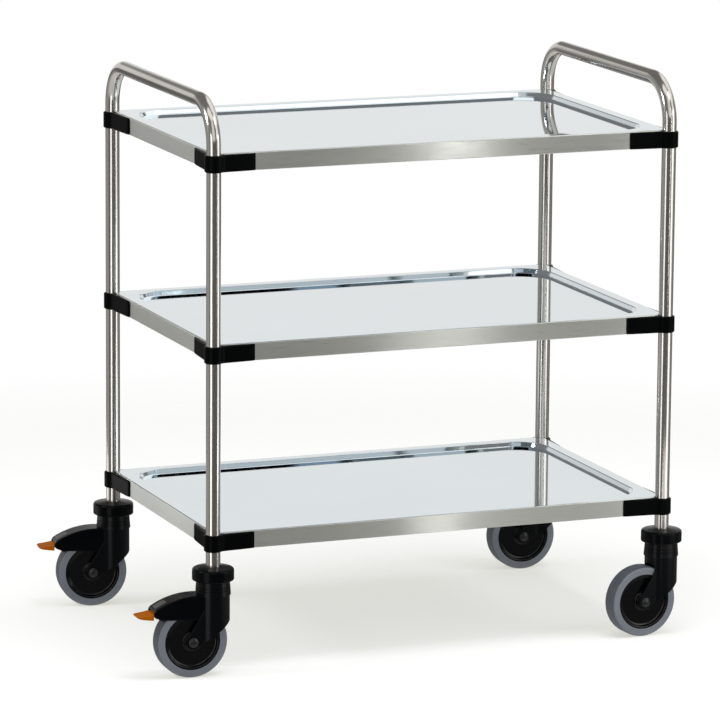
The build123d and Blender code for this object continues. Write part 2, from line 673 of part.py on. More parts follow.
def brake_shoe():
    """Shoe under the lever, hollowed to the tyre's curve."""
    pivot = by_tyre(BRAKE_NOSE)
    top = pivot[1] - PIVOT_BOSS_RADIUS
    reach = WHEEL_RADIUS + SHOE_GAP
    low = (
        AXLE[0] - reach * cos(radians(SHOE_LOW_ANGLE)),
        AXLE[1] + reach * sin(radians(SHOE_LOW_ANGLE)),
    )
    front, back = pivot[0] - SHOE_FRONT, pivot[0] + SHOE_BACK
    outline = [(back, top), (front, top), (front, low[1] + SHOE_FOOT), low, (back, low[1])]
    return side_plate(polygon(outline), SHOE_WIDTH) - cross_rod(AXLE, reach, 2 * SHOE_WIDTH)


# Every node, by name


def make_nodes():
    """All the nodes of the trolley by name, each a list of its solids."""
    nodes = {"end_frame_left": [end_frame(-1)], "end_frame_right": [end_frame(1)]}
    blank = bracket_blank()
    screws = []
    for tray_name in TRAY_NAMES:
        nodes[f"tray_{tray_name}"] = [tray(tray_name)]
        for corner in CORNERS:
            nodes[f"bracket_{corner}_{tray_name}"] = [bracket(blank, corner, tray_name)]
            screws += [screw(seat, direction) for seat, direction in screw_places(corner, tray_name)]
    nodes["tray_screws"] = screws
    nodes["castor_stems"] = [castor_place(corner) * castor_stem() for corner in CORNERS]
    fork = castor_fork()
    castor = {
        "castor_cap": [castor_cap()],
        "castor_fork": [fork],
        "swivel_bearings": swivel_bearings(),
        "axle_bolt": [axle_bolt()],
        "axle_nut": [axle_nut()],
        "wheel_core": [wheel_core()],
        "wheel_tyre": [wheel_tyre()],
        "wheel_bushes": wheel_bushes(),
    }
    brake = {
        "brake_housing": [brake_housing(fork)],
        "brake_inset": [brake_inset()],
        "brake_pedal": [brake_pedal()],
        "brake_shoe": [brake_shoe()],
    }
    for corner in CORNERS:
        pieces = castor | brake if corner in BRAKED else castor
        for name, solids in pieces.items():
            nodes[f"{name}_{corner}"] = [castor_place(corner) * solid for solid in solids]
    return nodes


def main():
    """Writes each node to its own file."""
    os.makedirs("parts", exist_ok=True)
    for name, pieces in make_nodes().items():
        solids = [solid for piece in pieces for solid in piece.solids()]
        export_step(solids[0] if len(solids) == 1 else Compound(children=solids), f"parts/{name}.step")


if __name__ == "__main__":
    main()
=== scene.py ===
"""Looks of a three-tray utility trolley: end frames, pressed trays, corner brackets and swivel castors."""

import logging
import math
from dataclasses import dataclass, replace
from enum import Enum
from itertools import product
from typing import Any

import bmesh
import bpy
from bmesh.types import BMEdge, BMesh, BMFace, BMVert
from mathutils import Matrix, Vector

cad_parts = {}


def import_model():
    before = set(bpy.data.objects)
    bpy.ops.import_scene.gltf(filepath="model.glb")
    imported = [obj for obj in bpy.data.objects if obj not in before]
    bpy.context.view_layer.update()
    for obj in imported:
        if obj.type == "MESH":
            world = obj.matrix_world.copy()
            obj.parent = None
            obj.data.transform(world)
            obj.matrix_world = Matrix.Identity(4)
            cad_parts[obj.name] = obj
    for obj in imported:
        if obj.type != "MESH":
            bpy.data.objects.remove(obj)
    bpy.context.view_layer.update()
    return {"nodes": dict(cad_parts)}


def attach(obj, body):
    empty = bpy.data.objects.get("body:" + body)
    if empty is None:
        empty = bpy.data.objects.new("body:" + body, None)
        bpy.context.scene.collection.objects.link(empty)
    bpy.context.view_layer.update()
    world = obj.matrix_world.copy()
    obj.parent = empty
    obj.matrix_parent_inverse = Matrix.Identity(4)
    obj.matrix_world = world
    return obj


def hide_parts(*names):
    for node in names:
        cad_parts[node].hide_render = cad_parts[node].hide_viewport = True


LOG = logging.getLogger("trolley")
WHITE = (1.0, 1.0, 1.0, 1.0)
MERGE_DISTANCE = 1e-6
SHARP_ANGLE = 35.0
ROUND_STEPS = 6
BAR_SIDES = 72
NOISE_LOW = 0.3
NOISE_HIGH = 0.7
SMOOTHEST = 0.02
QUARTER_TURN = 0.25
ACROSS = Vector((0.0, 1.0, 0.0))
UP = Vector((0.0, 0.0, 1.0))
Colour = tuple[float, float, float]
Spot = tuple[float, float, float]
Point = tuple[float, float]
Rounds = dict[int, float]
Piece = bpy.types.Object
Socket = bpy.types.NodeSocket


class Place(Enum):
    """A place on the trolley that the frame's nodes are named for."""

    @property
    def label(self) -> str:
        """The place's name as the nodes spell it."""
        return self.name.lower()


class Corner(Place):
    """A corner of the trolley, with the signs of its X and Y."""

    FRONT_LEFT = (-1, -1)
    REAR_LEFT = (-1, 1)
    FRONT_RIGHT = (1, -1)
    REAR_RIGHT = (1, 1)


class End(Place):
    """An end of the trolley, with the sign of its X."""

    LEFT = -1
    RIGHT = 1


class Level(Place):
    """A tray, counted up from the floor."""

    BOTTOM = 0
    MIDDLE = 1
    TOP = 2


CASTOR_TURNS = {
    Corner.FRONT_LEFT: -2.0,
    Corner.REAR_LEFT: -8.0,
    Corner.FRONT_RIGHT: 5.0,
    Corner.REAR_RIGHT: -2.0,
}


class Lay(Enum):
    """Which way a finish's fine lines run: stretch of the pattern along X, Y and Z."""

    ALONG_X = (0.012, 1.0, 1.0)
    ALONG_Y = (1.0, 0.012, 1.0)
    ALONG_TUBE = (1.0, 0.01, 1.0)
    EVEN = (1.0, 1.0, 1.0)


class Shaping(Enum):
    """What a tool does to the piece that it meets."""

    CUT_AWAY = "DIFFERENCE"
    KEEP_COMMON = "INTERSECT"


# Finishes


class NodeBoard:
    """A node tree while it is being wired."""

    def __init__(self, tree: bpy.types.NodeTree) -> None:
        """Takes the node tree of a material or of the world, and empties it."""
        self.tree = tree
        tree.nodes.clear()

    def add(self, kind: str, sockets: dict[Any, Any] | None = None, **settings: Any) -> bpy.types.Node:
        """Adds one node and sets or links its inputs.

        Args:
            kind: Blender's name of the node type, after its common first part.
            sockets: Input names or numbers, each with a value or with the output that feeds it.
            settings: Properties of the node itself.

        Returns:
            The new node.
        """
        node = self.tree.nodes.new(f"ShaderNode{kind}")
        for name, value in settings.items():
            setattr(node, name, value)
        for name, value in (sockets or {}).items():
            if isinstance(value, Socket):
                self.tree.links.new(value, node.inputs[name])
            else:
                node.inputs[name].default_value = value
        return node

    def spread(self, value: Socket, low: float, high: float) -> Socket:
        """Maps the middle of a noise pattern onto the range from low to high."""
        ends = {"Value": value, "From Min": NOISE_LOW, "From Max": NOISE_HIGH, "To Min": low, "To Max": high}
        return self.add("MapRange", ends).outputs["Result"]

    def fade(self, value: Socket, none: float, full: float) -> Socket:
        """Soft step from 0, where the value is none, to 1, where it is full."""
        ends = {"Value": value, "From Min": none, "From Max": full}
        return self.add("MapRange", ends, interpolation_type="SMOOTHSTEP").outputs["Result"]

    def joined(self, kind: str, first: Any, second: Any) -> Socket:
        """Joins two values into one, as MULTIPLY or MAXIMUM does."""
        return self.add("Math", {0: first, 1: second}, operation=kind).outputs["Value"]


@dataclass(frozen=True)
class Finish:
    """One surface finish: a colour that strays a little, with fine lines or grain in its gloss and height."""

    name: str
    colour: Colour
    roughness: float
    metallic: float = 0.0
    lay: Lay = Lay.EVEN
    on_uv: bool = False
    stray: float = 0.06
    stray_scale: float = 14.0
    grain_scale: float = 900.0
    grain_gloss: float = 0.05
    grain_depth: float = 0.00002
    wave_depth: float = 0.0
    wave_scale: float = 9.0
    specular: float = 0.5
    brushed: float = 0.0

    def material(self) -> bpy.types.Material:
        """The finish as a material, made once.

        Returns:
            The material.
        """
        made = bpy.data.materials.get(self.name)
        if made is None:
            made = bpy.data.materials.new(self.name)
            made.use_nodes = True
            self.wire(NodeBoard(made.node_tree))
        return made

    def wire(self, board: NodeBoard) -> None:
        """Wires the finish.

        Args:
            board: The material's empty node tree.
        """
        places = board.add("TexCoord")
        spot = places.outputs["Object"]
        stretched = {"Vector": places.outputs["UV"] if self.on_uv else spot, "Scale": self.lay.value}
        along = board.add("Mapping", stretched).outputs["Vector"]
        grain = board.add("TexNoise", {"Vector": along, "Scale": self.grain_scale, "Detail": 3.0})
        cloud = board.add("TexNoise", {"Vector": spot, "Scale": self.stray_scale, "Detail": 4.0})
        lines = grain.outputs["Fac"]
        share = board.spread(cloud.outputs["Fac"], 0.0, 1.0)
        shades = {0: share, 6: self.shade(1 - self.stray), 7: self.shade(1 + self.stray)}
        colour = board.add("Mix", shades, data_type="RGBA").outputs[2]
        glossiest = max(self.roughness - self.grain_gloss, SMOOTHEST)
        gloss = board.spread(lines, glossiest, self.roughness + self.grain_gloss)
        relief = board.add("Bump", {"Height": lines, "Strength": 1.0, "Distance": self.grain_depth})
        if self.wave_depth:
            wave = board.add("TexNoise", {"Vector": spot, "Scale": self.wave_scale, "Detail": 1.0})
            swell = {"Height": wave.outputs["Fac"], "Distance": self.wave_depth}
            relief = board.add("Bump", swell | {"Normal": relief.outputs["Normal"]})
        shader = board.add(
            "BsdfPrincipled",
            {
                "Base Color": colour,
                "Roughness": gloss,
                "Normal": relief.outputs["Normal"],
                "Metallic": self.metallic,
                "Specular IOR Level": self.specular,
                "Anisotropic": self.brushed,
                "Anisotropic Rotation": QUARTER_TURN,
            },
        )
        if self.brushed:
            level = board.add("Tangent", direction_type="RADIAL", axis="Z").outputs["Tangent"]
            board.tree.links.new(level, shader.inputs["Tangent"])
        board.add("OutputMaterial", {"Surface": shader.outputs["BSDF"]})

    def shade(self, share: float) -> tuple[float, float, float, float]:
        """The colour made lighter or darker by a share of itself."""
        return tuple(min(part * share, 1.0) for part in self.colour) + (1.0,)


TUBE_STEEL = Finish(
    "tube_satin_steel", colour=(0.60, 0.58, 0.55), roughness=0.18, metallic=1.0, lay=Lay.ALONG_TUBE,
    on_uv=True, stray=0.05, stray_scale=6.0, grain_scale=1400.0, grain_depth=0.0000005,
)
HANDLE_STEEL = replace(
    TUBE_STEEL, name="handle_brushed_steel", roughness=0.17, grain_gloss=0.06, grain_depth=0.000001
)
# Polished steel; its pale blue tint is a painted reflection of the pale room behind the trolley that the deck
# mirrors.
DECK_STEEL = Finish(
    "deck_polished_steel", colour=(0.72, 0.785, 0.83), roughness=0.045, metallic=1.0, stray=0.02,
    stray_scale=3.0, grain_scale=400.0, grain_gloss=0.02, grain_depth=0.0000008, wave_depth=0.00012,
    wave_scale=6.0,
)
SKIRT_STEEL_LONG = Finish(
    "skirt_brushed_steel_long", colour=(0.61, 0.615, 0.58), roughness=0.34, metallic=1.0, lay=Lay.ALONG_X,
    stray=0.05, stray_scale=4.0, grain_scale=1500.0, grain_gloss=0.07, grain_depth=0.000006, brushed=1.0,
)
# Painted light: the short sides are the same brushed sheet as the long sides. They are given a lighter colour
# to stand in for the brighter light that they mirror.
SKIRT_STEEL_SHORT_PAINTED_LIGHT = replace(
    SKIRT_STEEL_LONG, name="skirt_brushed_steel_short", colour=(0.85, 0.87, 0.83), roughness=0.35,
    lay=Lay.ALONG_Y,
)
BRACKET_PLASTIC = Finish(
    "bracket_black_plastic", colour=(0.0012, 0.0014, 0.0015), roughness=0.28, stray=0.15,
    grain_depth=0.00001, specular=0.03,
)
FORK_PLASTIC = Finish(
    "fork_black_plastic", colour=(0.0010, 0.0014, 0.0020), roughness=0.26, stray=0.15, grain_depth=0.000006,
    specular=0.15,
)
HOOD_PLASTIC = replace(
    FORK_PLASTIC, name="hood_black_plastic", colour=(0.0010, 0.0013, 0.0017), roughness=0.24, specular=0.07
)
CORE_PLASTIC = Finish(
    "wheel_core_gloss_black", colour=(0.0015, 0.0017, 0.0019), roughness=0.10, stray=0.1,
    grain_depth=0.000003, specular=0.35,
)
TYRE_SIDE = Finish("tyre_side_grey", colour=(0.128, 0.141, 0.163), roughness=0.46, stray=0.08)
# The tread and shoulders are the same rubber as the side, painted darker: partly wear, partly painted shade.
TYRE_TREAD_WORN_AND_SHADED = Finish(
    "tyre_tread_wear_and_shade", colour=(0.066, 0.074, 0.088), roughness=0.60, stray=0.12, stray_scale=40.0,
    grain_depth=0.00005,
)
PEDAL_PLASTIC = Finish(
    "pedal_orange_plastic", colour=(0.31, 0.080, 0.001), roughness=0.38, stray=0.05, specular=0.012
)
INSET_PLASTIC = Finish(
    "inset_grey_plastic", colour=(0.050, 0.048, 0.047), roughness=0.36, stray=0.08, specular=0.3
)
AXLE_STEEL = Finish(
    "axle_blackened_steel", colour=(0.013, 0.013, 0.015), roughness=0.32, metallic=0.5, stray=0.1,
    grain_depth=0.00001,
)
ZINC_STEEL = Finish(
    "zinc_plated_steel", colour=(0.55, 0.56, 0.58), roughness=0.34, metallic=1.0, stray=0.12,
    stray_scale=60.0,
)
BUSH_PLASTIC = Finish("bush_plastic", colour=(0.55, 0.53, 0.48), roughness=0.45, stray=0.05)
SHOE_RUBBER = Finish(
    "shoe_rubber", colour=(0.020, 0.020, 0.021), roughness=0.75, stray=0.2, grain_depth=0.00008
)
TRAY_FINISHES = [DECK_STEEL, SKIRT_STEEL_LONG, SKIRT_STEEL_SHORT_PAINTED_LIGHT]


# Modelling


def only(kind: type, geometry: list) -> list:
    """The items of one kind in an operator's result."""
    return [item for item in geometry if isinstance(item, kind)]


def bevel(bm: BMesh, items: list[BMEdge] | list[BMVert], reach: float, segments: int) -> list[BMVert]:
    """Bevels edges or corners to a round, or to a flat where it has one segment.

    Args:
        bm: Mesh that holds them.
        items: The edges or corners.
        reach: How far back from them the round starts.
        segments: Steps in the round.

    Returns:
        Vertices of the new faces.
    """
    made = bmesh.ops.bevel(
        bm,
        geom=items,
        offset=reach,
        offset_type="OFFSET",
        segments=segments,
        profile=0.5,
        affect="EDGES" if isinstance(items[0], BMEdge) else "VERTICES",
        material=-1,
        clamp_overlap=False,
    )
    return made["verts"]


def bar(bm: BMesh, radius: float, length: float, place: Matrix = Matrix(), sides: int = BAR_SIDES) -> None:
    """Adds a round bar along Z, centred on its place."""
    bmesh.ops.create_cone(
        bm, cap_ends=True, segments=sides, radius1=radius, radius2=radius, depth=length, matrix=place
    )


def face_of(bm: BMesh, points: list[Vector], rounds: Rounds, segments: int = ROUND_STEPS) -> BMFace:
    """Flat face through a few corners, some of them rounded.

    Args:
        bm: Mesh to add it to.
        points: Corners in order.
        rounds: Corner numbers, each with how far back along its edges the round starts.
        segments: Steps in each round.

    Returns:
        The face.
    """
    corners = [bm.verts.new(point) for point in points]
    face = bm.faces.new(corners)
    for number, reach in rounds.items():
        made = bevel(bm, [corners[number]], reach, segments)
        face = made[0].link_faces[0]
    return face


def turned(
    bm: BMesh, profile: list[Point], rounds: Rounds, centre: Vector, axis: Vector, steps: int
) -> None:
    """Ring turned about an axis from a closed profile.

    Args:
        bm: Mesh to add it to.
        profile: Corners as distance from the axis and place along it.
        rounds: Corner numbers, each with the reach of its round.
        centre: Point of the axis from which places along it are counted.
        axis: Direction of the axis, either Y or Z.
        steps: Steps round the full turn.
    """
    out = Vector((1.0, 0.0, 0.0))
    face = face_of(bm, [centre + out * away + axis * along for away, along in profile], rounds)
    edges, corners = list(face.edges), list(face.verts)
    bmesh.ops.delete(bm, geom=[face], context="FACES_ONLY")
    bmesh.ops.spin(
        bm,
        geom=edges + corners,
        cent=centre,
        axis=axis,
        angle=math.tau,
        steps=steps,
        use_merge=True,
        use_duplicate=False,
    )


def plate(
    bm: BMesh, points: list[Vector], rounds: Rounds, depth: Vector, segments: int = ROUND_STEPS
) -> list[BMFace]:
    """Plate drawn as a rounded face and drawn out along a vector.

    Args:
        bm: Mesh to add it to.
        points: Corners of its first side.
        rounds: Corner numbers, each with the reach of its round.
        depth: From the first side to the second.
        segments: Steps in each round.

    Returns:
        Its first and second side.
    """
    first = face_of(bm, points, rounds, segments)
    grown = bmesh.ops.extrude_face_region(bm, geom=[first], use_keep_orig=True)["geom"]
    bmesh.ops.translate(bm, verts=only(BMVert, grown), vec=depth)
    return [first, only(BMFace, grown)[0]]


def closed(bm: BMesh) -> BMesh:
    """Merges a mesh's doubles and points its faces outwards.

    Args:
        bm: Mesh to tidy.

    Returns:
        The same mesh.
    """
    bmesh.ops.remove_doubles(bm, verts=bm.verts[:], dist=MERGE_DISTANCE)
    bmesh.ops.recalc_face_normals(bm, faces=bm.faces[:])
    return bm


def added(name: str, data: bpy.types.ID) -> Piece:
    """Puts a new object into the scene.

    Args:
        name: Its name.
        data: Its mesh, light or camera.

    Returns:
        The object.
    """
    item = bpy.data.objects.new(name, data)
    bpy.context.scene.collection.objects.link(item)
    return item


def meshed(bm: BMesh, name: str) -> Piece:
    """Turns a mesh into an object of the scene.

    Args:
        bm: The mesh, which is used up.
        name: Name of the object.

    Returns:
        The object.
    """
    mesh = bpy.data.meshes.new(name)
    bm.to_mesh(mesh)
    bm.free()
    return added(name, mesh)


def show(bm: BMesh, name: str, finishes: list[Finish], sharp: float = SHARP_ANGLE) -> Piece:
    """Makes a finished piece of a mesh.

    Args:
        bm: The mesh, which is used up.
        name: Name of the piece.
        finishes: Its finishes, in the order of the mesh's material numbers.
        sharp: Angle in degrees above which an edge stays sharp.

    Returns:
        The piece.
    """
    piece = meshed(bm, name)
    for finish in finishes:
        piece.data.materials.append(finish.material())
    smooth(piece, sharp)
    return piece


def smooth(piece: Piece, sharp: float = SHARP_ANGLE) -> None:
    """Shades a piece smooth, apart from edges over the sharp angle in degrees."""
    piece.data.shade_smooth()
    piece.data.set_sharp_from_angle(angle=math.radians(sharp))


def baked(piece: Piece) -> None:
    """Turns a piece's modifiers into its mesh.

    Args:
        piece: The piece.
    """
    bpy.context.view_layer.update()
    mesh = bpy.data.meshes.new_from_object(piece.evaluated_get(bpy.context.evaluated_depsgraph_get()))
    piece.modifiers.clear()
    piece.data = mesh


def thicken(piece: Piece, thickness: float) -> None:
    """Gives a surface a wall on the inner side of its faces.

    Args:
        piece: The surface.
        thickness: The wall's thickness.
    """
    wall = piece.modifiers.new("wall", "SOLIDIFY")
    wall.thickness = thickness
    wall.offset = -1.0


def shape(piece: Piece, tool: BMesh, way: Shaping = Shaping.CUT_AWAY) -> None:
    """Shapes a piece with a tool, after the modifiers that it already has.

    Args:
        piece: The piece to shape.
        tool: Closed shape, which is used up.
        way: What the tool does.
    """
    helper = meshed(tool, "tool")
    knife = piece.modifiers.new("shape", "BOOLEAN")
    knife.operation = way.value
    knife.solver = "MANIFOLD"
    knife.object = helper
    baked(piece)
    bpy.data.meshes.remove(helper.data)


def even(piece: Piece) -> None:
    """Keeps flat faces flat in the shading where they run into a round."""
    shading = piece.modifiers.new("even_shading", "WEIGHTED_NORMAL")
    shading.keep_sharp = True


def carry(piece: Piece, body: str, slot: str, *nodes: str) -> None:
    """Puts a piece on its body in place of the nodes that it stands for.

    Args:
        piece: The finished piece.
        body: Body that it moves with.
        slot: The record's material slot; not used.
        nodes: Nodes that it stands for.
    """
    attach(piece, body)
    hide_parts(*nodes)
    LOG.info("%s on %s for %s, %d faces", piece.name, body, ", ".join(nodes), len(piece.data.polygons))


@dataclass(frozen=True)
class Layout:
    """Sizes that the sub-assemblies share, in metres."""

    spacing_x: float = 0.840
    spacing_y: float = 0.527
    tube_radius: float = 0.0125
    bottom_rim: float = 0.246
    tray_pitch: float = 0.326

    def post(self, corner: Corner) -> Vector:
        """Where the axis of a corner's post crosses the floor."""
        return Vector((corner.value[0] * self.spacing_x / 2, corner.value[1] * self.spacing_y / 2, 0.0))

    def rim(self, level: Level) -> float:
        """Height of a tray's rim."""
        return self.bottom_rim + level.value * self.tray_pitch


# Sub-assemblies


@dataclass(frozen=True)
class EndFrame:
    """Bent tube that makes the two posts and the handle bar of one end."""

    layout: Layout
    end: End
    wall: float = 0.0015
    foot: float = 0.176
    handle_height: float = 0.9815
    bend_radius: float = 0.072
    sides: int = 64
    bend_steps: int = 28

    def run(self, bm: BMesh, ring: list[BMEdge], step: Vector) -> list[BMEdge]:
        """Draws the tube on along a straight run.

        Args:
            bm: The tube's mesh.
            ring: Edges of its open end.
            step: The run.

        Returns:
            Edges of the new open end.
        """
        grown = bmesh.ops.extrude_edge_only(bm, edges=ring)["geom"]
        tips = set(only(BMVert, grown))
        bmesh.ops.translate(bm, verts=list(tips), vec=step)
        return [edge for edge in only(BMEdge, grown) if set(edge.verts) <= tips]

    def bend(self, bm: BMesh, ring: list[BMEdge], centre: Vector) -> list[BMEdge]:
        """Draws the tube on round a quarter turn about X.

        Args:
            bm: The tube's mesh.
            ring: Edges of its open end.
            centre: Centre of the bend.

        Returns:
            Edges of the new open end.
        """
        ends = list({vert for edge in ring for vert in edge.verts})
        turn = bmesh.ops.spin(
            bm,
            geom=ring + ends,
            cent=centre,
            axis=(-1.0, 0.0, 0.0),
            angle=math.pi / 2,
            steps=self.bend_steps,
            use_duplicate=False,
        )
        return only(BMEdge, turn["geom_last"])

    def grain(self, bm: BMesh) -> None:
        """Lays a map on the tube with U round it and V along it, in metres, and marks the handle's faces.

        Args:
            bm: The tube's mesh.
        """
        layer = bm.loops.layers.uv.new("along_tube")
        x = self.end.value * self.layout.spacing_x / 2
        half = self.layout.spacing_y / 2
        turn_y, turn_z = half - self.bend_radius, self.handle_height - self.bend_radius
        for face in bm.faces:
            middle = face.calc_center_median()
            side = math.copysign(1.0, middle.y)
            face.material_index = 1 if middle.z > turn_z else 0
            for loop in face.loops:
                spot = loop.vert.co
                out, up = side * spot.y - turn_y, spot.z - turn_z
                if middle.z < turn_z:
                    along, away = up, out - self.bend_radius
                elif abs(middle.y) > turn_y:
                    along = self.bend_radius * math.atan2(up, out)
                    away = math.hypot(out, up) - self.bend_radius
                else:
                    along, away = self.bend_radius * math.pi / 2 - out, up - self.bend_radius
                angle = math.atan2(spot.x - x, away)
                centre = math.atan2(middle.x - x, away)
                angle += math.tau * round((centre - angle) / math.tau)
                loop[layer].uv = (angle * self.layout.tube_radius, side * along)

    def build(self) -> None:
        """Builds the tube and puts it on the frame."""
        x = self.end.value * self.layout.spacing_x / 2
        half = self.layout.spacing_y / 2
        turn = self.handle_height - self.bend_radius
        rise = UP * (turn - self.foot)
        bm = bmesh.new()
        place = Matrix.Translation((x, -half, self.foot))
        bmesh.ops.create_circle(bm, segments=self.sides, radius=self.layout.tube_radius, matrix=place)
        ring = self.run(bm, bm.edges[:], rise)
        ring = self.bend(bm, ring, Vector((x, self.bend_radius - half, turn)))
        ring = self.run(bm, ring, ACROSS * 2 * (half - self.bend_radius))
        ring = self.bend(bm, ring, Vector((x, half - self.bend_radius, turn)))
        self.run(bm, ring, -rise)
        closed(bm)
        self.grain(bm)
        piece = show(bm, f"tube_{self.end.label}", [TUBE_STEEL, HANDLE_STEEL])
        thicken(piece, self.wall)
        baked(piece)
        smooth(piece)
        carry(piece, "frame", "tube", f"end_frame_{self.end.label}")


@dataclass(frozen=True)
class Trays:
    """Pressed sheet trays: flat rim, sloping step, sunken deck, skirt and a hem inside the skirt."""

    layout: Layout
    sheet: float = 0.0012
    skirt: float = 0.031
    hem: float = 0.010
    rim_width: float = 0.023
    depth: float = 0.008
    step_run: float = 0.00462
    corner_radius: float = 0.062
    step_round: float = 0.0012
    rim_round: float = 0.0025
    blank_corner: float = 0.009
    notch_radius: float = 0.0133
    shoulder: float = 0.020
    shoulder_drop: float = 0.00132
    corner_steps: int = 20
    fold_steps: int = 5

    def outline(self, bm: BMesh, inset: float, radius: float, height: float) -> list[BMEdge]:
        """Rounded rectangle of edges, inside the lines between the posts.

        Args:
            bm: The tray's mesh.
            inset: Distance in from those lines.
            radius: Corner radius.
            height: Height over the rim.

        Returns:
            Its edges.
        """
        x, y = self.layout.spacing_x / 2 - inset, self.layout.spacing_y / 2 - inset
        order = (Corner.FRONT_LEFT, Corner.FRONT_RIGHT, Corner.REAR_RIGHT, Corner.REAR_LEFT)
        corners = [Vector((corner.value[0] * x, corner.value[1] * y, height)) for corner in order]
        face = face_of(bm, corners, dict.fromkeys(range(len(order)), radius), self.corner_steps)
        edges = list(face.edges)
        bmesh.ops.delete(bm, geom=[face], context="FACES_ONLY")
        return edges

    def press(self) -> BMesh:
        """Upper surface of the sheet with its rim at zero, from the hem's inner edge to the deck.

        Returns:
            The open surface.
        """
        bm = bmesh.new()
        inner = self.rim_width + self.step_run
        folds = [
            self.outline(bm, self.hem, self.blank_corner / 2, -self.skirt),
            self.outline(bm, 0.0, self.blank_corner, -self.skirt),
            self.outline(bm, 0.0, self.blank_corner, 0.0),
            self.outline(bm, self.rim_width, self.corner_radius, 0.0),
            self.outline(bm, inner, self.corner_radius - self.step_run, -self.depth),
        ]
        for lower, upper in zip(folds, folds[1:]):
            bmesh.ops.bridge_loops(bm, edges=lower + upper)
        bmesh.ops.contextual_create(bm, geom=folds[-1])
        bmesh.ops.recalc_face_normals(bm, faces=bm.faces[:])
        for fold, reach in zip(folds[1:], (self.sheet, self.rim_round, self.step_round, self.step_round)):
            bevel(bm, fold, reach, self.fold_steps)
        return bm

    def dress(self, bm: BMesh) -> None:
        """Gives the polished top and the skirt's long and short sides their finishes.

        Args:
            bm: The tray's mesh.
        """
        for face in bm.faces:
            middle = face.calc_center_median()
            in_x = self.layout.spacing_x / 2 - abs(middle.x)
            in_y = self.layout.spacing_y / 2 - abs(middle.y)
            if middle.z > -2 * self.depth and min(in_x, in_y) > self.rim_round / 2:
                face.material_index = 0
            else:
                # The short sides take the skirt finish that is painted lighter: painted light on the same
                # sheet.
                face.material_index = 1 if in_y < in_x else 2

    def notches(self) -> BMesh:
        """Round bars that are cut away at the corners for the posts.

        Returns:
            The four bars.
        """
        bm = bmesh.new()
        for corner in Corner:
            bar(bm, self.notch_radius, 4 * self.skirt, Matrix.Translation(self.layout.post(corner)))
        return bm

    def shoulders(self) -> BMesh:
        """Blocks that are cut away of the skirts behind the brackets.

        Returns:
            The four blocks.
        """
        bm = bmesh.new()
        height = 2 * self.skirt
        drop = UP * (-self.shoulder_drop - height / 2)
        size = Matrix.Diagonal((2 * self.shoulder, 2 * self.shoulder, height, 1.0))
        for corner in Corner:
            place = Matrix.Translation(self.layout.post(corner) + drop)
            bmesh.ops.create_cube(bm, size=1.0, matrix=place @ size)
        return bm

    def blank(self) -> Piece:
        """One tray with its rim at zero and its corners cut.

        Returns:
            The tray, before it is placed.
        """
        bm = self.press()
        self.dress(bm)
        piece = show(bm, "tray_blank", TRAY_FINISHES)
        thicken(piece, self.sheet)
        shape(piece, self.shoulders())
        shape(piece, self.notches())
        return piece

    def build(self) -> None:
        """Builds the three trays and puts them on the frame."""
        blank = self.blank()
        for level in Level:
            bm = bmesh.new()
            bm.from_mesh(blank.data)
            bmesh.ops.translate(bm, verts=bm.verts[:], vec=(0.0, 0.0, self.layout.rim(level)))
            piece = show(bm, f"pressed_tray_{level.label}", TRAY_FINISHES)
            even(piece)
            carry(piece, "frame", "sheet", f"tray_{level.label}")
        bpy.data.objects.remove(blank)


